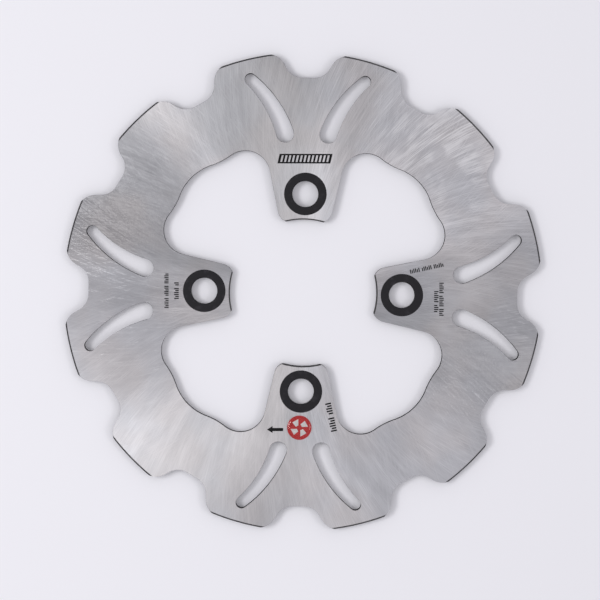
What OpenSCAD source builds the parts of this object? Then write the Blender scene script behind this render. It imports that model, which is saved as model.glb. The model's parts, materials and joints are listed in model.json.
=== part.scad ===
// Fixed wave-edge brake disc for a motorcycle or scooter wheel, in millimetres.
// The disc lies flat: its hub face is at z = 0 and its marked face looks along +Z.
// The origin is the disc's centre, and the four bolt lugs point along +X, +Y, -X and -Y.

/* [Disc] */
// Outer diameter over the petal tips
disc_d = 240; // [236:1:250]
// Thickness of the steel
disc_t = 4; // [3:0.1:6]
// Turned chamfer on the petal tips
tip_chamfer = 0.8; // [0.2:0.1:1.2]

/* [Hub fixing] */
// Diameter of the centring bore that the four lug ends lie on
bore_d = 73.5; // [70:0.5:76]
// Turned chamfer on the lug ends
bore_chamfer = 0.6; // [0.2:0.1:1]
// Diameter of the circle through the bolt holes
bolt_circle_d = 99; // [96:0.5:102]
// Diameter of a bolt hole
bolt_hole_d = 13; // [8:0.5:14]

/* [Petals] */
// Height of a scallop's floor above the disc's centre
scallop_floor = 107.4; // [104:0.2:109]
// Half the width of the flat floor
scallop_half_w = 2.9; // [1:0.1:5]
// Radius between floor and flank
scallop_fillet = 9.1; // [6:0.1:10]
// Slope of the flank against the floor
scallop_slope = 60.4; // [56:0.2:64]
// Straight length of the flank
scallop_flank = 2.1; // [1:0.1:4]
// Radius of the shoulder that leads to the petal tip
shoulder_r = 9.6; // [6:0.2:12]

/* [Windows] */
// Slope of a lug's side against the lug's own axis
lug_slope = 12.4; // [10:0.2:14]
// Distance of the lug's side line from the disc's centre
lug_offset = 4.6; // [4:0.1:5.4]
// Radius of the corner where a lug's side meets the bore
lug_corner_r = 6.8; // [5:0.2:8]
// Distance along the lug's side at which that corner starts
lug_corner_start = 42.4; // [41:0.2:44]
// Distance along the lug's side at which its root curve starts
root_start = 63.2; // [60:0.2:65]
// Radius of the root curve
root_r = 12.4; // [10:0.2:14]
// Radius of the wave that stands into the window
wave_r = 37; // [30:1:44]
// Radius of the window's outer lobe
lobe_r = 25.4; // [22:0.2:28]
// Distance of the lobe's centre from the disc's centre
lobe_centre = 54.9; // [53:0.1:57]

/* [Slots] */
// Wide inner end: distance to the side of the lug's axis, distance along it, and radius
slot_in_x = 10.8; // [10:0.1:12]
slot_in_y = 79.4; // [78.5:0.1:82]
slot_in_r = 4.4; // [3:0.1:5]
// Narrow outer end: distance to the side of the lug's axis, distance along it, and radius
slot_out_x = 28.6; // [26:0.1:30]
slot_out_y = 106; // [103:0.1:107]
slot_out_r = 2.9; // [2:0.1:3.5]
// Radius of the long edge nearer the lug's axis
slot_near_r = 61; // [50:1:80]
// Radius of the long edge further from the lug's axis
slot_far_r = 57; // [45:1:75]

/* [Coats and prints] */
// Outer diameter of the black coat round each bolt hole
seat_d = 21.3; // [17:0.1:21.6]
// Thickness of the black coat
seat_t = 0.1; // [0.05:0.05:0.3]
// Thickness of the printed marks
print_t = 0.05; // [0.05:0.05:0.2]
// Turn of the prints against the lugs, in degrees
print_turn = 1.2; // [-3:0.1:3]
// Length of the name plate print
plate_w = 26.4; // [18:0.2:28]
// Height of the name plate print
plate_h = 4.8; // [3:0.1:6]
// Number of light bars in the name plate print
plate_bars = 13; // [3:1:15]

/* [Badge] */
// Diameter of the round badge
badge_d = 12.2; // [8:0.1:13]
// Thickness of the badge's label
badge_label_t = 0.3; // [0.2:0.05:0.6]
// Height of the clear dome over the label
badge_dome_h = 1.3; // [0.6:0.1:2]

/* [Hidden] */
PETALS = 12;
LUGS = 4;
disc_r = disc_d / 2;
bore_r = bore_d / 2;
lug_pitch = 360 / LUGS;
petal_pitch = 360 / PETALS;
over = 2;                     // how far a cutter runs past the metal
chord_error = 0.02;           // greatest gap between an arc and its chords
FINE = 96;                    // any number over 12 gives a true circle
steel = "#b9b8b9";
black = "#2e2c31";
red = "#b02a2e";
white = "#f4f0ee";

// ---- plane geometry ----

function polar(r, a) = r * [cos(a), sin(a)];
function heading(v) = atan2(v.y, v.x);
function steps(r, sweep) = max(2, ceil(abs(sweep) / (2 * acos(1 - chord_error / r))));

// Points along an arc about c from angle a0 to a1, ends included.
function arc(c, r, a0, a1) =
    let (n = steps(r, a1 - a0)) [for (i = [0:n]) c + polar(r, a0 + (a1 - a0) * i / n)];

// Where two circles meet: the crossing to the left of the line from c1 to c2.
function meet(c1, r1, c2, r2) =
    let (gap = norm(c2 - c1), along = (gap * gap + r1 * r1 - r2 * r2) / (2 * gap),
         side = sqrt(r1 * r1 - along * along), dir = (c2 - c1) / gap)
    c1 + along * dir + side * [-dir.y, dir.x];

// The angle a, moved by whole turns to lie at or below top and within one turn of it.
function under(a, top) = a > top ? under(a - 360, top) : (a <= top - 360 ? under(a + 360, top) : a);

function turned(p, a) = [p.x * cos(a) - p.y * sin(a), p.x * sin(a) + p.y * cos(a)];
function flip(points) = [for (i = [len(points) - 1:-1:0]) [-points[i].x, points[i].y]];

// ---- rotor outlines ----

// Right half of the scallop on the +Y axis: floor, fillet, straight flank, then the round shoulder,
// which runs out past the petal tip.
function scallop_side() =
    let (fillet_c = [scallop_half_w, scallop_floor + scallop_fillet],
         flank_end = fillet_c + polar(scallop_fillet, scallop_slope - 90)
                     + polar(scallop_flank, scallop_slope),
         shoulder_c = flank_end - polar(shoulder_r, scallop_slope + 90))
    concat(arc(fillet_c, scallop_fillet, -90, scallop_slope - 90),
           arc(shoulder_c, shoulder_r, scallop_slope + 90, 90),
           [[shoulder_c.x, disc_r + over]]);

// All scallops in one closed line. Between them it lies outside the rim, which the blank cuts.
function rim_line() =
    let (one = concat(flip(scallop_side()), scallop_side()))
    [for (i = [0:PETALS - 1]) for (p = one) turned(p, -i * petal_pitch)];

// Half of one window, from the bore beside the +Y lug round to the window's own middle line at 45
// degrees. The curves are tangent to each other: corner, lug side, root, wave, lobe.
lug_along = polar(1, 90 - lug_slope);
lug_normal = polar(1, -lug_slope);
lug_corner_c = (lug_offset - lug_corner_r) * lug_normal + lug_corner_start * lug_along;
root_c = (lug_offset + root_r) * lug_normal + root_start * lug_along;
lobe_c = polar(lobe_centre, 45);
wave_c = meet(root_c, root_r + wave_r, lobe_c, lobe_r + wave_r);

function window_half() =
    let (root_out = heading(wave_c - root_c), wave_in = heading(root_c - wave_c),
         wave_out = heading(lobe_c - wave_c), lobe_in = heading(wave_c - lobe_c))
    concat(arc(lug_corner_c, lug_corner_r, -95, -lug_slope),
           arc(root_c, root_r, 180 - lug_slope, root_out),
           arc(wave_c, wave_r, wave_in, wave_out),
           arc(lobe_c, lobe_r, lobe_in, 45));

// All windows in one closed line. The other half of each is the same points mirrored about the 45
// degree line, which swaps x and y. Between windows the line lies inside the bore.
function window_line() =
    let (half = window_half(),
         one = concat(half, [for (i = [len(half) - 2:-1:0]) [half[i].y, half[i].x]]))
    [for (i = [0:LUGS - 1]) for (p = one) turned(p, -i * lug_pitch)];

// One tapered, curved slot right of the +Y lug's axis. Both long edges are tangent to the round ends.
module slot() {
    in_c = [slot_in_x, slot_in_y];
    out_c = [slot_out_x, slot_out_y];
    near_c = meet(out_c, slot_near_r - slot_out_r, in_c, slot_near_r - slot_in_r);
    far_c = meet(out_c, slot_far_r + slot_out_r, in_c, slot_far_r + slot_in_r);
    in_start = heading(far_c - in_c);
    in_end = under(heading(in_c - near_c), in_start);
    near_end = heading(out_c - near_c);
    out_end = under(heading(far_c - out_c), near_end);
    polygon(concat(arc(in_c, slot_in_r, in_start, in_end),
                   arc(near_c, slot_near_r, in_end + 360, near_end),
                   arc(out_c, slot_out_r, near_end, out_end),
                   arc(far_c, slot_far_r, out_end + 180, in_start + 180)));
}

module slot_pair() {
    slot();
    mirror([1, 0]) slot();
}

// ---- rotor ----

// The turned blank: a flat ring with chamfered rim and chamfered bore.
module blank() {
    rotate_extrude($fn = FINE) polygon([
        [bore_r + bore_chamfer, 0], [disc_r - tip_chamfer, 0], [disc_r, tip_chamfer],
        [disc_r, disc_t - tip_chamfer], [disc_r - tip_chamfer, disc_t],
        [bore_r + bore_chamfer, disc_t], [bore_r, disc_t - bore_chamfer], [bore_r, bore_chamfer]]);
}

// The cut plate: scallops round the outside, windows and slots inside.
module plate() {
    translate([0, 0, -over]) linear_extrude(disc_t + 2 * over) difference() {
        polygon(rim_line());
        polygon(window_line());
        for (i = [0:LUGS - 1]) rotate(i * lug_pitch) slot_pair();
    }
}

// One-piece rotor: laser-cut stainless steel plate, ground flat on both faces.
module rotor() {
    color(steel) difference() {
        intersection() {
            blank();
            plate();
        }
        for (i = [0:LUGS - 1]) rotate(i * lug_pitch) translate([bolt_circle_d / 2, 0, -over])
            cylinder(d = bolt_hole_d, h = disc_t + 2 * over, $fn = FINE);
    }
}

// ---- coats and prints on the marked face ----

// Matt black coat round one bolt hole, where the bolt's head seats.
module seat_coat(lug) {
    color(black) rotate(lug * lug_pitch) translate([bolt_circle_d / 2, 0, disc_t]) difference() {
        cylinder(d = seat_d, h = seat_t, $fn = FINE);
        translate([0, 0, -over]) cylinder(d = bolt_hole_d, h = seat_t + 2 * over, $fn = FINE);
    }
}

// Black ink of the marks: lays a flat outline on the marked face.
module ink() color(black) translate([0, 0, disc_t]) linear_extrude(print_t) children();

// A slanted block, w long and h high, centred, whose sides lean by slant.
module slanted(w, h, slant) {
    lean = h / 2 * tan(slant);
    polygon([[-w / 2 - lean, -h / 2], [w / 2 - lean, -h / 2], [w / 2 + lean, h / 2],
             [-w / 2 + lean, h / 2]]);
}

plate_c = [-0.6, 67.1];
plate_slant = 13;
plate_rim = 0.75;

// Name plate: a black slanted block with bare steel bars left open in it, in place of a name.
module name_plate_print() {
    pitch = (plate_w - 2 * plate_rim) / plate_bars;
    ink() translate(plate_c) rotate(print_turn) difference() {
        slanted(plate_w, plate_h, plate_slant);
        for (i = [0:plate_bars - 1])
            translate([(i - (plate_bars - 1) / 2) * pitch, 0])
                slanted(pitch * 0.5, plate_h - 2 * plate_rim, plate_slant);
    }
}

arrow_tail = [-8.5, -68.8];
arrow_l = 8.1;
arrow_head_l = 2.8;
arrow_head_h = 3.5;
arrow_shaft_h = 1.6;

// Arrow that shows which way the wheel turns.
module arrow_print() {
    neck = arrow_head_l - arrow_l;
    ink() translate(arrow_tail) rotate(print_turn) polygon([
        [0, arrow_shaft_h / 2], [neck, arrow_shaft_h / 2], [neck, arrow_head_h / 2], [-arrow_l, 0],
        [neck, -arrow_head_h / 2], [neck, -arrow_shaft_h / 2], [0, -arrow_shaft_h / 2]]);
}

// A row of upright strokes from start along the angle turn, in place of a line of lettering. The
// strokes come in groups, with every seventh place left open, and every third stroke is shorter.
module code_row(start, turn, l, h) {
    stroke_w = h * 0.25;
    count = floor(l / (stroke_w * 1.6));
    pitch = (l - stroke_w) / (count - 1);
    ink() translate(start) rotate(turn)
        for (i = [0:count - 1])
            if (i % 7 != 6 || i == count - 1)
                translate([i * pitch, -h / 2]) square([stroke_w, i % 3 == 1 ? h * 0.75 : h]);
}

module bottom_code_print() code_row([17.1, -69.2], 90 + lug_slope + print_turn, 14.6, 3);

module left_code_print() {
    code_row([-68.2, -9], 90 + print_turn, 17.2, 2.1);
    code_row([-63.3, -4.4], 90 + print_turn, 8.3, 2.3);
}

module right_code_print() {
    code_row([53.3, 11.8], lug_slope + print_turn, 17, 2.1);
    code_row([69.2, 6.7], print_turn - 90, 16.6, 2.2);
    code_row([66.7, 2.4], print_turn - 90, 10.5, 2.2);
}

// ---- badge ----

badge_c = [-0.4, -67.7];
badge_r = badge_d / 2;
emblem_r = badge_r * 0.72;

// Four plain white vanes about an open middle.
module emblem_outline() {
    for (i = [0:3]) rotate(i * 90 + 22)
        polygon([polar(emblem_r * 0.3, 0), polar(emblem_r, -14), polar(emblem_r, 32),
                 polar(emblem_r * 0.42, 52)]);
}

module on_badge(z) translate([badge_c.x, badge_c.y, disc_t + z]) children();

// Red label, stuck to the steel, with the emblem's shapes left open.
module badge_label() {
    color(red) on_badge(0) linear_extrude(badge_label_t) difference() {
        circle(r = badge_r, $fn = FINE);
        emblem_outline();
    }
}

// White of the emblem, level with the label.
module badge_emblem() color(white) on_badge(0) linear_extrude(badge_label_t) emblem_outline();

// Clear resin dome, poured over the whole label: the cap of a sphere.
module badge_dome() {
    sphere_r = (badge_r * badge_r + badge_dome_h * badge_dome_h) / (2 * badge_dome_h);
    color(white, 0.3) on_badge(badge_label_t) intersection() {
        translate([0, 0, badge_dome_h - sphere_r]) sphere(r = sphere_r, $fn = FINE);
        cylinder(r = badge_r + over, h = badge_dome_h + over, $fn = FINE);
    }
}

rotor();
seat_coat(0);  // seat_coat_right
seat_coat(1);  // seat_coat_top
seat_coat(2);  // seat_coat_left
seat_coat(3);  // seat_coat_bottom
badge_label();
badge_emblem();
badge_dome();
name_plate_print();
arrow_print();
bottom_code_print();
left_code_print();
right_code_print();
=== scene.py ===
"""A wave-edge brake disc for a motorcycle wheel, lying on a pale studio floor.

All lengths are in metres."""

import json
from math import radians

import bpy
import numpy as np
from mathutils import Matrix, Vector
from mathutils.geometry import delaunay_2d_cdt


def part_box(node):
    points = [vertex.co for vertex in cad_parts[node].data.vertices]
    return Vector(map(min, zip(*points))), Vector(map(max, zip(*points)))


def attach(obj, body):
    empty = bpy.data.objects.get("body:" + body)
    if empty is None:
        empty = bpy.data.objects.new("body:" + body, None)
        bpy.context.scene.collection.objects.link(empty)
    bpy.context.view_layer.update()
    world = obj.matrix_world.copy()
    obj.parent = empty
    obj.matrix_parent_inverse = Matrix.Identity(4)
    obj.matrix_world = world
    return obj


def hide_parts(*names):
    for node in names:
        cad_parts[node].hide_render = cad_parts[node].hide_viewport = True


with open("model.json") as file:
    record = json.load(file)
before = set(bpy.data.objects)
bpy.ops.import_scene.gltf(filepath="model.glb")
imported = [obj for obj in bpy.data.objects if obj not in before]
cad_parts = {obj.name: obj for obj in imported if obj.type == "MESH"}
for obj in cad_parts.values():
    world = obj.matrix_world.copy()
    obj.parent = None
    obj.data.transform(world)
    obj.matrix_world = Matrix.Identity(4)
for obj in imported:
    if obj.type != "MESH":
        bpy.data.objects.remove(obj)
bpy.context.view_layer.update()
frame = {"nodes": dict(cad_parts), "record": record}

# ---- The disc ----
# One plate of hardened stainless steel. The wave rim, the windows round the four bolt lugs and the
# eight slots are cut by laser; petal tips, lug ends and bolt holes are turned and drilled. Both
# faces are then ground flat, which leaves fine arcs that cross each other all over the steel.

mounts = {m["name"]: m["dims"] for m in frame["record"]["mounts"]}
hub_face_z, marked_face_z = (corner.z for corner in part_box("rotor"))
bolt_circle_r = mounts["bolts"]["pcd_mm"] / 2000
bolt_hole_r = mounts["bolts"]["hole_r_mm"] / 1000
bore_r = mounts["hub_bore"]["r_mm"] / 1000
rim_r = 0.120
petals, lugs = 12, 4
tip_chamfer, bore_chamfer = 0.0008, 0.0006
edge_break = 0.00012          # the cut edges are only stoned

scallop_floor, scallop_half_w = 0.1074, 0.0029
scallop_fillet, scallop_slope, scallop_flank = 0.0091, 60.4, 0.0021
shoulder_r = 0.0096

lug_slope, lug_offset = 12.4, 0.0046
lug_corner_r, lug_corner_start = 0.0068, 0.0424
root_start, root_r = 0.0632, 0.0124
wave_r, lobe_r, lobe_centre = 0.037, 0.0254, 0.0549

slot_in, slot_in_r = np.array([0.0108, 0.0794]), 0.0044
slot_out, slot_out_r = np.array([0.0286, 0.106]), 0.0029
slot_near_r, slot_far_r = 0.061, 0.057

GROUND, CUT, TURNED = 0, 1, 2   # how a face or a wall was made, in the order of the materials


def polar(r, degrees):
    """The point at radius r and an angle from the X axis."""
    a = np.radians(degrees)
    return r * np.array([np.cos(a), np.sin(a)])


def heading(v):
    """The angle of a vector from the X axis, in degrees."""
    return np.degrees(np.arctan2(v[1], v[0]))


def arc(centre, r, start, end, n):
    """n points on a circle, evenly spaced from angle start to angle end."""
    return centre + polar(r, np.linspace(start, end, n)).T


def meet(c1, r1, c2, r2):
    """Where two circles meet, left of the line c1 to c2: the foot on that line by the law of
    cosines, then sideways by what Pythagoras leaves."""
    gap = np.linalg.norm(c2 - c1)
    along = (gap * gap + r1 * r1 - r2 * r2) / (2 * gap)
    ahead = (c2 - c1) / gap
    return c1 + along * ahead + np.sqrt(r1 * r1 - along * along) * np.array([-ahead[1], ahead[0]])


def turned(points, degrees):
    """Points turned about the disc's centre."""
    c, s = polar(1, degrees)
    return points @ np.array([[c, s], [-s, c]])


centre = np.zeros(2)


def rim_outline(tip_r):
    """The wave rim, clockwise. Half a scallop is floor, fillet, flank and shoulder; the shoulder
    ends on the circle tip_r, and the petal's tip follows that circle to the next scallop."""
    fillet_c = np.array([scallop_half_w, scallop_floor + scallop_fillet])
    flank_end = (fillet_c + polar(scallop_fillet, scallop_slope - 90)
                 + polar(scallop_flank, scallop_slope))
    shoulder_c = flank_end - polar(shoulder_r, scallop_slope + 90)
    corner = meet(centre, tip_r, shoulder_c, shoulder_r)
    half = np.vstack([arc(fillet_c, scallop_fillet, -90, scallop_slope - 90, 18),
                      arc(shoulder_c, shoulder_r, scallop_slope + 90,
                          heading(corner - shoulder_c), 14)])
    tip_end = 180 - 360 / petals - heading(corner)
    tip = arc(centre, tip_r, heading(corner), tip_end, 26)[1:-1]
    one = np.vstack([half[::-1] * [-1, 1], half, tip])
    made = np.repeat([CUT, TURNED], [2 * len(half) - 1, len(tip) + 1])
    return (np.vstack([turned(one, -i * 360 / petals) for i in range(petals)]),
            np.tile(made, petals))


def window_outline(end_r):
    """The four windows and the lug ends between them as one line, clockwise. Half a window is lug
    corner, straight lug side, root, wave and lobe; its other half is its mirror image in the 45
    degree line. The lug ends follow the circle end_r."""
    along, across = polar(1, 90 - lug_slope), polar(1, -lug_slope)
    corner_c = (lug_offset - lug_corner_r) * across + lug_corner_start * along
    root_c = (lug_offset + root_r) * across + root_start * along
    lobe_c = polar(lobe_centre, 45)
    wave_c = meet(root_c, root_r + wave_r, lobe_c, lobe_r + wave_r)
    start = meet(corner_c, lug_corner_r, centre, end_r)
    half = np.vstack([
        arc(corner_c, lug_corner_r, heading(start - corner_c), -lug_slope, 12),
        arc(root_c, root_r, 180 - lug_slope, heading(wave_c - root_c), 24),
        arc(wave_c, wave_r, heading(root_c - wave_c), heading(lobe_c - wave_c), 20)[1:],
        arc(lobe_c, lobe_r, heading(wave_c - lobe_c), 45, 24)[1:]])
    lug_end = arc(centre, end_r, 90 - heading(start), heading(start) - 90, 28)[1:-1]
    one = np.vstack([half, half[-2::-1, ::-1], lug_end])
    made = np.repeat([CUT, TURNED], [2 * len(half) - 2, len(lug_end) + 1])
    return (np.vstack([turned(one, -i * 360 / lugs) for i in range(lugs)]), np.tile(made, lugs))


def slot_outline():
    """One tapered slot right of the +Y lug's axis: two round ends, joined by two long edges whose
    circles touch both ends."""
    near_c = meet(slot_out, slot_near_r - slot_out_r, slot_in, slot_near_r - slot_in_r)
    far_c = meet(slot_out, slot_far_r + slot_out_r, slot_in, slot_far_r + slot_in_r)
    in_start = heading(far_c - slot_in)
    in_end = in_start - (in_start - heading(slot_in - near_c)) % 360
    near_end = heading(slot_out - near_c)
    out_end = near_end - (near_end - heading(far_c - slot_out)) % 360
    return np.vstack([arc(slot_in, slot_in_r, in_start, in_end, 26),
                      arc(near_c, slot_near_r, in_end + 360, near_end, 24)[1:],
                      arc(slot_out, slot_out_r, near_end, out_end, 22)[1:],
                      arc(far_c, slot_far_r, out_end + 180, in_start + 180, 24)[1:-1]])


def all_outlines(tip_r, end_r):
    """Every outline of the plate with how its walls are made, each running anticlockwise."""
    slot = slot_outline()
    hole = arc(centre, bolt_hole_r, 0, 360, 73)[:-1] + [bolt_circle_r, 0]
    found = [rim_outline(tip_r), window_outline(end_r)]
    for i in range(lugs):
        for side in (slot, slot * [-1, 1]):
            found.append((turned(side, i * 360 / lugs), np.full(len(slot), CUT)))
        found.append((turned(hole, i * 360 / lugs), np.full(len(hole), TURNED)))
    for k, (line, made) in enumerate(found):
        x, y = line.T
        if np.sum(x * np.roll(y, -1) - y * np.roll(x, -1)) < 0:
            # made[i] belongs to the wall from point i to point i + 1
            found[k] = (line[::-1], np.roll(made[::-1], -1))
    return found


def drawn_in(line, by):
    """A closed line moved by the distance by to its left, along the mean normal of its two
    neighbouring edges, lengthened at corners so both edges move by the same distance."""
    edge = np.roll(line, -1, 0) - line
    left = np.column_stack([-edge[:, 1], edge[:, 0]]) / np.linalg.norm(edge, axis=1)[:, None]
    both = left + np.roll(left, 1, 0)
    return line + by * both * (2 / np.maximum(np.sum(both * both, 1), 1.2))[:, None]


def filled(lines):
    """Triangles that fill the first line less all the others. A triangle of the Delaunay net
    stays if a ray from its middle crosses the lines an odd number of times."""
    points = np.vstack(lines)
    starts = np.cumsum([0] + [len(line) for line in lines])
    edges = np.vstack([np.column_stack([np.arange(a, b), np.roll(np.arange(a, b), -1)])
                       for a, b in zip(starts[:-1], starts[1:])])
    net = delaunay_2d_cdt([Vector(p) for p in points], edges.tolist(), [], 0, 1e-9)
    if len(net[0]) != len(points):
        raise ValueError("the outlines of the disc touch each other")
    order = np.array([source[0] for source in net[3]])
    triangles = order[np.array(net[2])]
    mx, my = points[triangles].mean(1).T
    (ax, ay), (bx, by) = points[edges[:, 0]].T, points[edges[:, 1]].T
    level = (ay[None] > my[:, None]) != (by[None] > my[:, None])
    with np.errstate(divide="ignore", invalid="ignore"):
        across = ax[None] + (my[:, None] - ay[None]) * (bx - ax)[None] / (by - ay)[None]
    odd = np.sum(level & (mx[:, None] < across), 1) % 2 == 1
    return triangles[odd]


def put_in_mesh(name, points, faces, materials, face_materials=None, smooth_below=30):
    """A mesh object from points and faces, smooth except along edges sharper than smooth_below."""
    mesh = bpy.data.meshes.new(name)
    mesh.from_pydata(np.asarray(points).tolist(), [], [list(map(int, f)) for f in faces])
    for material in materials:
        mesh.materials.append(material)
    if face_materials is not None:
        mesh.polygons.foreach_set("material_index", np.asarray(face_materials, np.int32))
    mesh.polygons.foreach_set("use_smooth", np.ones(len(mesh.polygons), bool))
    mesh.set_sharp_from_angle(angle=radians(smooth_below))
    mesh.update()
    piece = bpy.data.objects.new(name, mesh)
    bpy.context.scene.collection.objects.link(piece)
    return piece


def disc_mesh(name, materials):
    """The plate as four rings of points for each outline: drawn in at the hub face, full size
    above it, full size below the marked face, drawn in at the marked face. On turned walls the
    full size starts a chamfer away from the face, elsewhere an edge break away."""
    full = all_outlines(rim_r, bore_r)
    face = [drawn_in(line, edge_break if k == 0 else -edge_break) for k, (line, _) in
            enumerate(all_outlines(rim_r - tip_chamfer + edge_break,
                                   bore_r + bore_chamfer - edge_break))]
    outline = np.vstack([line for line, _ in full])
    r = np.linalg.norm(outline, axis=1)
    bevel = np.maximum.reduce([np.full(len(r), edge_break), r - (rim_r - tip_chamfer),
                               bore_r + bore_chamfer - r])
    inset = np.vstack(face)
    levels = [np.column_stack([inset, np.full(len(r), hub_face_z)]),
              np.column_stack([outline, hub_face_z + bevel]),
              np.column_stack([outline, marked_face_z - bevel]),
              np.column_stack([inset, np.full(len(r), marked_face_z)])]
    cap = filled(face)
    faces, kinds, first = [cap[:, ::-1], cap + 3 * len(r)], [np.full(2 * len(cap), GROUND)], 0
    for k, (line, made) in enumerate(full):
        here = first + np.arange(len(line))
        there = np.roll(here, -1)
        if k:
            here, there = there, here
        for level in range(3):
            low, high = level * len(r), (level + 1) * len(r)
            faces.append(np.column_stack([here + low, there + low, there + high, here + high]))
            # the cut walls' broken edges, below and above, are ground with the faces
            kinds.append(np.where(made == TURNED, TURNED, CUT if level == 1 else GROUND))
        first += len(line)
    every_face = [f for block in faces for f in block.tolist()]
    return put_in_mesh(name, np.vstack(levels), every_face, materials, np.concatenate(kinds))


def feed(tree, socket, value):
    """Gives a socket another node's output, or a value. A colour may leave out its alpha."""
    if isinstance(value, bpy.types.NodeSocket):
        tree.links.new(value, socket)
    elif socket.type == "RGBA":
        socket.default_value = (*value[:3], 1)
    else:
        socket.default_value = value


def node(tree, kind, inputs=(), **settings):
    """A node of that kind with its settings; inputs maps a socket to what feeds it."""
    made = tree.nodes.new(kind)
    for key, value in settings.items():
        setattr(made, key, value)
    for key, value in dict(inputs).items():
        feed(tree, made.inputs[key], value)
    return made


def calc(tree, operation, *values):
    """The result of a Math node."""
    return node(tree, "ShaderNodeMath", enumerate(values), operation=operation).outputs[0]


def ramp(tree, value, low, high, to_low=0.0, to_high=1.0):
    """A value eased from to_low at low to to_high at high, and held beyond them."""
    return node(tree, "ShaderNodeMapRange", {"Value": value, "From Min": low, "From Max": high,
                "To Min": to_low, "To Max": to_high}, interpolation_type="SMOOTHSTEP").outputs[0]


def noise(tree, place, scale, detail, rough, distort=0.0):
    """The value of a Noise Texture."""
    return node(tree, "ShaderNodeTexNoise", {"Vector": place, "Scale": scale, "Detail": detail,
                "Roughness": rough, "Distortion": distort}).outputs["Fac"]


def tint(tree, share, low, high):
    """A colour between low and high."""
    return node(tree, "ShaderNodeMix", {0: share, 6: low, 7: high}, data_type="RGBA").outputs[2]


def new_material(name, **constants):
    """A material with one Principled BSDF whose plain sockets hold the constants."""
    material = bpy.data.materials.new(name)
    material.use_nodes = True
    tree = material.node_tree
    tree.nodes.clear()
    surface = node(tree, "ShaderNodeBsdfPrincipled",
                   {key.replace("_", " "): value for key, value in constants.items()})
    node(tree, "ShaderNodeOutputMaterial", {"Surface": surface.outputs[0]})
    place = node(tree, "ShaderNodeTexCoord").outputs["Object"]
    return material, tree, surface, place


def give_skin(tree, surface, colour, roughness, height, strength, depth):
    """Feeds a surface its colour and roughness, and its fine relief through a Bump node."""
    bump = node(tree, "ShaderNodeBump", {"Height": height, "Strength": strength,
                                         "Distance": depth})
    for key, value in (("Base Color", colour), ("Roughness", roughness),
                       ("Normal", bump.outputs[0])):
        feed(tree, surface.inputs[key], value)


def new_group(name, inputs, outputs):
    """A shader node group with float or vector inputs and float outputs."""
    group = bpy.data.node_groups.new(name, "ShaderNodeTree")
    for label, kind in inputs.items():
        group.interface.new_socket(label, in_out="INPUT", socket_type=kind)
    for label in outputs:
        group.interface.new_socket(label, in_out="OUTPUT", socket_type="NodeSocketFloat")
    return group, group.nodes.new("NodeGroupInput").outputs, group.nodes.new("NodeGroupOutput")


def use_group(tree, group, inputs):
    """The outputs of a group placed in a tree."""
    return node(tree, "ShaderNodeGroup", inputs, node_tree=group).outputs


def vector(tree, operation, *values, output=0):
    """The result of a Vector Math node."""
    made = node(tree, "ShaderNodeVectorMath", enumerate(values), operation=operation)
    return made.outputs[output]


def scaled(tree, value, factor):
    """A vector times a number, which may be a socket."""
    return node(tree, "ShaderNodeVectorMath", {0: value, "Scale": factor},
                operation="SCALE").outputs[0]


def mixed(tree, share, low, high):
    """A number between low and high."""
    return node(tree, "ShaderNodeMix", {0: share, 2: low, 3: high}).outputs[0]


def grinding_arcs(tree, place, side, density, length, shift):
    """One pass of the grinding wheel: fine lines, broad lines and the direction across them.
    Every arc has the wheel's radius and runs through the disc's centre, so a point at radius r
    lies on the arc whose middle is in the direction place / (2 wheel_r) plus side *
    sqrt(1 - (r / 2 wheel_r)^2) times the unit vector square to place. That direction is the same
    all along one arc, so noise on it gives lines along the arcs; r alone varies them in length."""
    flat = vector(tree, "MULTIPLY", place, (1, 1, 0))
    r = vector(tree, "LENGTH", flat, output=1)
    square = vector(tree, "CROSS_PRODUCT", vector(tree, "NORMALIZE", flat), (0, 0, 1))
    lean = calc(tree, "DIVIDE", r, 2 * wheel_r)
    rest = calc(tree, "SQRT", calc(tree, "SUBTRACT", 1.0, calc(tree, "MULTIPLY", lean, lean)))
    middle = vector(tree, "ADD", scaled(tree, flat, 1 / (2 * wheel_r)),
                    scaled(tree, square, calc(tree, "MULTIPLY", rest, side)))
    run = node(tree, "ShaderNodeCombineXYZ", {2: calc(tree, "DIVIDE", r, length)}).outputs[0]
    along = vector(tree, "ADD", vector(tree, "ADD", scaled(tree, middle, density), run),
                   (0, 0, shift))
    fine = noise(tree, along, 1.0, detail=3.0, rough=0.65)
    broad_along = vector(tree, "MULTIPLY", along, (broad_share, broad_share, broad_run))
    broad = noise(tree, broad_along, 1.0, detail=2.0, rough=0.6)
    across = vector(tree, "SUBTRACT", scaled(tree, middle, wheel_r), flat)
    return fine, broad, across


wheel_r = 0.2                 # radius of the arcs that the grinding wheel leaves
broad_share = 0.060           # density of the broad lines over that of the fine ones
broad_run = 0.6               # and how fast they change along an arc, over the fine ones
first_pass = {"side": 1.0, "density": 320.0, "length": 0.014, "shift": 0.0}
second_pass = {"side": -1.0, "density": 280.0, "length": 0.012, "shift": 7.3}
second_side = (-0.35, -0.94, 0)   # the second pass cut deeper on this side
deep_side = (0.1, 0.995, 0)   # the lines are deepest on this side
lug_root_r, lug_face_r = 0.078, 0.062   # between these radii the ring's finish turns to the lugs'
streak_petal_centre, streak_petal_radius = (0.072, 0.070, 0), 0.048   # upper-right petal, a little darker, that carries painted highlight streaks
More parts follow.
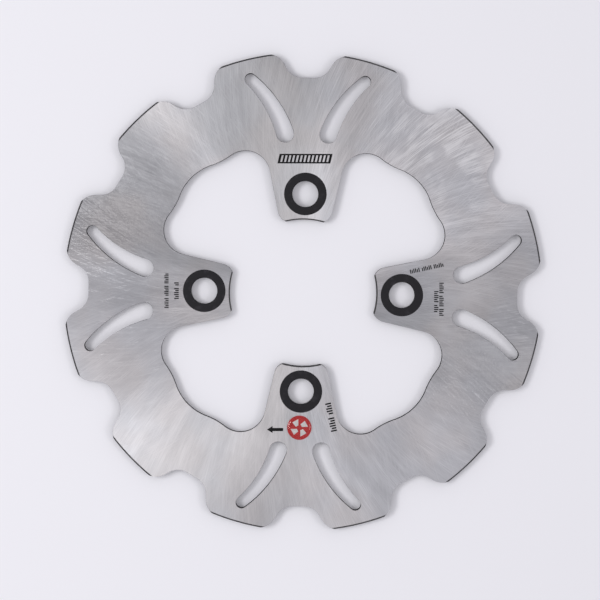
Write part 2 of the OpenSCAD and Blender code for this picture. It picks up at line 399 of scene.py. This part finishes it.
# sides of the ground steel painted brighter or darker as painted highlight and shade, for how the
# light falls on them: the unit vector that way, the cosines of the angles from it at which the
# change starts and is full, and the share of brightness it adds
painted_light_sides = (((0.74, 0.67, 0), 0.84, 0.98, 0.42), ((-0.26, 0.965, 0), 0.92, 0.99, -0.31),
                ((-0.89, 0.46, 0), 0.93, 0.985, -0.27), ((-0.90, -0.44, 0), 0.90, 0.98, 0.20),
                ((0.45, -0.89, 0), 0.85, 0.97, 0.24), ((0.96, -0.27, 0), 0.95, 0.99, -0.12))
lower_lug_painted_light, upper_lug_painted_light = -0.15, 0.09   # such shares for the faces of the lower and the upper lug: painted shade below, painted highlight above
lug_depth = 0.8               # depth that the lines gain on the lugs
steel_in_lines, steel_between = (0.41, 0.404, 0.416), (0.69, 0.681, 0.693)
warm_cast, cool_cast = (1.015, 0.995, 0.985), (0.985, 1.0, 1.02)
# the upper-right petal's darker steel, and the near-white colour of its painted highlight streaks
steel_of_streak_petal, streak_petal_darkening = (0.30, 0.296, 0.308), 0.15
steel_painted_highlight, painted_highlight_share = (0.98, 0.97, 0.98), 0.62


def ground_face_material():
    """Bright ground steel. Two passes cross each other; at each spot the deeper line shows, in
    colour, roughness and height, and the light spreads across it. Some sides and the two lugs are
    painted brighter or darker as painted highlight and shade, and one petal is a little darker and
    carries broad painted highlight streaks."""
    material, tree, surface, place = new_material("ground_steel_face", Metallic=1.0,
                                                  Anisotropic=0.85)

    def toward(way, origin=place):
        """How far a place lies in the direction way."""
        return vector(tree, "DOT_PRODUCT", origin, way, output=1)

    def near(spot, outside, inside):
        """1 within the radius inside of a spot, easing to 0 at the radius outside."""
        return ramp(tree, vector(tree, "DISTANCE", place, spot, output=1), outside, inside)

    def total(*parts):
        """The sum of numbers, each times its own weight."""
        added = calc(tree, "MULTIPLY", *parts[0])
        for part in parts[1:]:
            added = calc(tree, "ADD", added, calc(tree, "MULTIPLY", *part))
        return added

    fine_a, broad_a, across_a = grinding_arcs(tree, place, **first_pass)
    fine_b, broad_b, across_b = grinding_arcs(tree, place, **second_pass)
    outward = vector(tree, "NORMALIZE", vector(tree, "MULTIPLY", place, (1, 1, 0)))
    on_streak_petal = near(streak_petal_centre, streak_petal_radius, streak_petal_radius * 0.3)
    on_lug = near((0, 0, 0), lug_root_r, lug_face_r)

    # which pass is deeper here, and how deep the lines are
    second = ramp(tree, toward(second_side), -0.1, 0.1, -0.14, 0.14)
    over = calc(tree, "SUBTRACT", fine_b, fine_a)
    share = ramp(tree, calc(tree, "ADD", over, second), -0.2, 0.2)
    deep = ramp(tree, toward(deep_side, outward), -0.1, 0.8, 0.55, 1.4)
    depth = total((on_streak_petal, 1.0), (deep, 1.0), (on_lug, lug_depth))
    fine = mixed(tree, depth, 0.5, mixed(tree, share, fine_a, fine_b))

    # from dark lines to bright steel between them; some sides are painted brighter or darker as
    # painted highlight and shade
    patches = noise(tree, place, 20.0, detail=3.0, rough=0.5, distort=0.5)
    tone = total((fine, 0.55), (mixed(tree, share, broad_a, broad_b), 0.2), (patches, 0.25))
    painted_light_gain = 1.0
    for way, start, full, change in painted_light_sides:
        painted_light_gain = calc(tree, "ADD", ramp(tree, toward(way, outward), start, full, 0.0, change), painted_light_gain)
    # the lower lug's face painted darker and the upper lug's painted lighter, as painted shade and
    # highlight
    lug_painted_light = ramp(tree, toward((0, 1, 0), outward), -1.0, 1.0, lower_lug_painted_light,
                      upper_lug_painted_light)
    painted_light_gain = calc(tree, "ADD", painted_light_gain, calc(tree, "MULTIPLY", on_lug, lug_painted_light))
    bare = scaled(tree, tint(tree, ramp(tree, tone, 0.34, 0.72), steel_in_lines, steel_between),
                  painted_light_gain)
    clouds = noise(tree, place, 28.0, detail=2.0, rough=0.5)
    bare = vector(tree, "MULTIPLY", bare,
                  tint(tree, ramp(tree, clouds, 0.35, 0.65), warm_cast, cool_cast))

    # broad painted highlight streaks, near white, on the upper-right petal, which is also a little
    # darker
    highlight_patches = ramp(tree, noise(tree, place, 70.0, detail=2.0, rough=0.5), 0.40, 0.56)
    painted_streaks = calc(tree, "MULTIPLY", calc(tree, "MULTIPLY", on_streak_petal, highlight_patches),
                   ramp(tree, total((broad_a, 0.8), (fine_a, 1.0)), 0.76, 1.02))
    petal_darkened = tint(tree, calc(tree, "MULTIPLY", on_streak_petal, streak_petal_darkening), bare, steel_of_streak_petal)
    colour = tint(tree, calc(tree, "MULTIPLY", painted_streaks, painted_highlight_share), petal_darkened, steel_painted_highlight)
    give_skin(tree, surface, colour, ramp(tree, tone, 0.35, 0.70, 0.43, 0.33), fine,
              strength=0.2, depth=0.00003)

    lean = ramp(tree, total((over, 0.3), (second, 1.0)), -0.12, 0.12)
    across = node(tree, "ShaderNodeMix", {0: lean, 4: across_a, 5: across_b}, data_type="VECTOR")
    feed(tree, surface.inputs["Tangent"], vector(tree, "NORMALIZE", across.outputs[1]))
    return material


def drag_lines_group():
    """Fine lines that a cut leaves on a wall: noise, stretched along the way of the cut."""
    group, given, out = new_group("drag_lines", {"Place": "NodeSocketVector",
                                                 "Stretch": "NodeSocketVector",
                                                 "Density": "NodeSocketFloat"}, ["Lines"])
    drawn = vector(group, "MULTIPLY", given["Place"], given["Stretch"])
    lines = noise(group, drawn, given["Density"], detail=2.0, rough=0.5)
    feed(group, out.inputs["Lines"], lines)
    return group


drag_lines = drag_lines_group()


def wall_material(name, stretch, density, colours, roughness, strength, depth):
    """Dull steel wall with the fine lines of its cut, darker and rougher in the lines."""
    material, tree, surface, place = new_material(name, Metallic=1.0,
                                                  Specular_Tint=(0.12, 0.12, 0.12))
    lines = use_group(tree, drag_lines, {"Place": place, "Stretch": stretch,
                                         "Density": density})["Lines"]
    give_skin(tree, surface, tint(tree, lines, *colours),
              ramp(tree, lines, 0.3, 0.7, *roughness), lines, strength, depth)
    return material


laser_cut = wall_material("laser_cut_wall", stretch=(1, 1, 0.12), density=2600.0,
                          colours=((0.04, 0.039, 0.041), (0.13, 0.127, 0.132)),
                          roughness=(0.55, 0.38), strength=0.5, depth=0.00005)
# The turned edges' colours are far darker than bare turned steel: partly painted shade, for the
# narrow edges and chamfers that lie in shadow.
turned_edge = wall_material("turned_edge", stretch=(0.05, 0.05, 1), density=5200.0,
                            colours=((0.05, 0.049, 0.050), (0.14, 0.137, 0.140)),
                            roughness=(0.45, 0.32), strength=0.3, depth=0.00003)
disc = disc_mesh("wave_disc", [ground_face_material(), laser_cut, turned_edge])
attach(disc, "root")
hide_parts("rotor")

# ---- Bolt seats ----
# A thin black coat is baked on the steel round each bolt hole, where the bolt's head bears. Its
# edges are soft, and its skin has a faint orange peel.

coat_edge = 0.0001            # over this width the coat falls away at its edges
coat_matt, coat_rubbed = (0.009, 0.0082, 0.0106), (0.020, 0.0183, 0.0228)


def revolved(name, profile, middle, base_z, materials, turns=96):
    """A closed ring or cap: the profile's (radius, height) points carried round an upright axis.
    x = radius * cos(a), y = radius * sin(a), z = height, for a once round the circle."""
    profile = np.asarray(profile, float)
    a = np.linspace(0, 2 * np.pi, turns, endpoint=False)
    ring = np.stack([profile[:, :1] * np.cos(a), profile[:, :1] * np.sin(a),
                     np.repeat(profile[:, 1:], turns, 1)], -1)
    points = ring.reshape(-1, 3) + [middle[0], middle[1], base_z]
    i, j = np.meshgrid(np.arange(len(profile) - 1), np.arange(turns), indexing="ij")
    k = (j + 1) % turns
    quads = np.stack([i * turns + j, i * turns + k, (i + 1) * turns + k, (i + 1) * turns + j], -1)
    return put_in_mesh(name, points, quads.reshape(-1, 4), materials, smooth_below=40)


def coat_profile(inner, outer, thickness, edge):
    """Up over the coat from its outer foot to its inner foot: a quarter of an ellipse at each
    edge, with a level top between them."""
    a = np.linspace(0, np.pi / 2, 7)
    rise = np.column_stack([outer - edge * (1 - np.cos(a)), thickness * np.sin(a)])
    fall = np.column_stack([inner + edge * (1 - np.cos(a[::-1])), thickness * np.sin(a[::-1])])
    return np.vstack([rise, fall])


def mottle_group():
    """Soft spots of a coat, an ink or a resin: noise, eased from 0 at Start to 1 at Full."""
    group, given, out = new_group("mottle", {"Place": "NodeSocketVector",
                                             "Density": "NodeSocketFloat",
                                             "Start": "NodeSocketFloat",
                                             "Full": "NodeSocketFloat"}, ["Mottle"])
    spots = noise(group, given["Place"], given["Density"], detail=3.0, rough=0.6)
    feed(group, out.inputs["Mottle"], ramp(group, spots, given["Start"], given["Full"]))
    return group


mottle = mottle_group()


def mottled(tree, place, density, start, full):
    """The mottle group placed in a tree."""
    return use_group(tree, mottle, {"Place": place, "Density": density, "Start": start,
                                    "Full": full})["Mottle"]


def black_coat_material():
    """Matt black baked coat with a faint orange peel and a few rubbed spots."""
    material, tree, surface, place = new_material("seat_coat_black", Specular_IOR_Level=0.28)
    peel = mottled(tree, place, density=1400.0, start=0.2, full=0.8)
    rubbed = mottled(tree, place, density=260.0, start=0.5, full=0.75)
    give_skin(tree, surface, tint(tree, rubbed, coat_matt, coat_rubbed),
              ramp(tree, rubbed, 0.0, 1.0, 0.62, 0.48), peel, strength=0.3, depth=0.00002)
    return material


coat_black = black_coat_material()
for side in ("right", "top", "left", "bottom"):
    coat_node = "seat_coat_" + side
    low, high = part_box(coat_node)
    coat = revolved("coat_" + side,
                    coat_profile(bolt_hole_r, (high.x - low.x) / 2, high.z - low.z, coat_edge),
                    ((low.x + high.x) / 2, (low.y + high.y) / 2), low.z, [coat_black])
    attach(coat, "root")
    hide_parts(coat_node)

# ---- Printed marks ----
# The name plate, the turning arrow and the code rows are pad-printed on the steel in black ink
# that has dried a little thin and rough.

ink_full, ink_thin = (0.005, 0.0048, 0.0055), (0.020, 0.0195, 0.021)


def ink_material():
    """Flat black ink, thin and grey in small spots."""
    material, tree, surface, place = new_material("printing_ink", Specular_IOR_Level=0.15)
    thin = mottled(tree, place, density=1500.0, start=0.5, full=0.72)
    give_skin(tree, surface, tint(tree, thin, ink_full, ink_thin),
              ramp(tree, thin, 0.0, 1.0, 0.5, 0.4), thin, strength=0.2, depth=0.00002)
    return material


ink = ink_material()
for print_node in ("name_plate_print", "arrow_print", "bottom_code_print", "left_code_print",
                   "right_code_print"):
    frame["nodes"][print_node].material_slots[0].material = ink

# ---- Badge ----
# A round vinyl label, printed red with four white vanes, is stuck to the lower lug. Clear resin
# is poured on it and sets as a dome that is nearly flat on top and steep at its edge.

label_low, label_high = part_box("badge_label")
dome_low, dome_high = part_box("badge_dome")
badge_middle = ((label_low.x + label_high.x) / 2, (label_low.y + label_high.y) / 2)
badge_r = (label_high.x - label_low.x) / 2
dome_fullness = 2.2           # 2 gives half an ellipse; more is flatter on top


def vinyl_material(name, dark, light):
    """Printed vinyl under resin: one ink, laid on slightly unevenly."""
    material, tree, surface, place = new_material(name)
    uneven = mottled(tree, place, density=900.0, start=0.3, full=0.7)
    give_skin(tree, surface, tint(tree, uneven, dark, light),
              ramp(tree, uneven, 0.0, 1.0, 0.4, 0.32), uneven, strength=0.1, depth=0.00001)
    return material


def resin_material():
    """Clear resin with a faintly wavy skin. Light for the label below passes straight through."""
    material, tree, surface, place = new_material("clear_resin_dome", Transmission_Weight=1.0,
                                                  IOR=1.5, Specular_IOR_Level=0.8)
    wavy = mottled(tree, place, density=240.0, start=0.25, full=0.75)
    give_skin(tree, surface, tint(tree, wavy, (0.95, 0.95, 0.95), (1.0, 1.0, 1.0)),
              ramp(tree, wavy, 0.0, 1.0, 0.02, 0.05), wavy, strength=0.04, depth=0.00004)
    through = node(tree, "ShaderNodeBsdfTransparent").outputs[0]
    shadow = node(tree, "ShaderNodeLightPath").outputs["Is Shadow Ray"]
    mix = node(tree, "ShaderNodeMixShader", {0: shadow, 1: surface.outputs[0], 2: through})
    feed(tree, tree.nodes["Material Output"].inputs["Surface"], mix.outputs[0])
    return material


frame["nodes"]["badge_label"].material_slots[0].material = vinyl_material(
    "vinyl_red", dark=(0.72, 0.026, 0.030), light=(0.84, 0.042, 0.044))
frame["nodes"]["badge_emblem"].material_slots[0].material = vinyl_material(
    "vinyl_white", dark=(0.94, 0.90, 0.90), light=(0.99, 0.96, 0.96))


def dome_profile(r, height, fullness):
    """From the middle of the dome's foot out to its edge and up to its top, along the curve
    (x / r) ** fullness + (y / height) ** fullness = 1."""
    a = np.linspace(0, np.pi / 2, 28)
    curve = np.column_stack([r * np.cos(a) ** (2 / fullness),
                             height * np.sin(a) ** (2 / fullness)])
    curve[-1, 0] = 0
    return np.vstack([[[0, 0]], curve])


dome = revolved("badge_resin", dome_profile(badge_r, dome_high.z - dome_low.z, dome_fullness),
                badge_middle, dome_low.z, [resin_material()])
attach(dome, "root")
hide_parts("badge_dome")

# ---- Studio ----
# The disc lies on a pale matt floor between two softboxes, the left one much stronger, under a
# pale sky that is a little brighter overhead. The camera looks almost straight down on the disc.

scene = bpy.context.scene
scene.view_settings.view_transform = "Standard"

floor_half = 4.0
floor_paint = new_material("floor_matt", Roughness=0.9, Base_Color=(0.82, 0.815, 0.85),
                           Emission_Color=(0.9, 0.89, 0.93), Emission_Strength=0.055)[0]
floor_corners = [(x * floor_half, y * floor_half, hub_face_z)
                 for x, y in ((-1, -1), (1, -1), (1, 1), (-1, 1))]
floor = put_in_mesh("floor", floor_corners, [(0, 1, 2, 3)], [floor_paint])


def softbox(name, place, width, height, power):
    """A rectangular area light that points at the disc's centre."""
    light = bpy.data.lights.new(name, "AREA")
    light.shape, light.size, light.size_y, light.energy = "RECTANGLE", width, height, power
    lamp = bpy.data.objects.new(name, light)
    lamp.location = place
    lamp.rotation_euler = (-Vector(place)).to_track_quat("-Z", "Y").to_euler()
    scene.collection.objects.link(lamp)


softbox("softbox_left", (-0.95, 0.06, 1.05), width=0.7, height=0.42, power=7)
softbox("softbox_right", (1.1, -0.1, 1.1), width=0.6, height=0.24, power=2)

sky_low, sky_high = (0.56, 0.553, 0.580), (0.70, 0.692, 0.722)
world = bpy.data.worlds.new("studio_air")
scene.world = world
world.use_nodes = True
air = world.node_tree
sky_way = node(air, "ShaderNodeTexCoord").outputs["Generated"]
upward = node(air, "ShaderNodeSeparateXYZ", {0: sky_way}).outputs[2]
feed(air, air.nodes["Background"].inputs["Color"],
     tint(air, ramp(air, upward, 0.4, 0.95), sky_low, sky_high))

camera_data = bpy.data.cameras.new("camera")
camera_data.lens, camera_data.sensor_width = 105.43, 36
camera = bpy.data.objects.new("camera", camera_data)
camera.location = (-0.0118, 0.0278, 0.8832)
camera.rotation_euler = [radians(turn) for turn in (-2.057, -0.625, 1.289)]
scene.collection.objects.link(camera)
scene.camera = camera
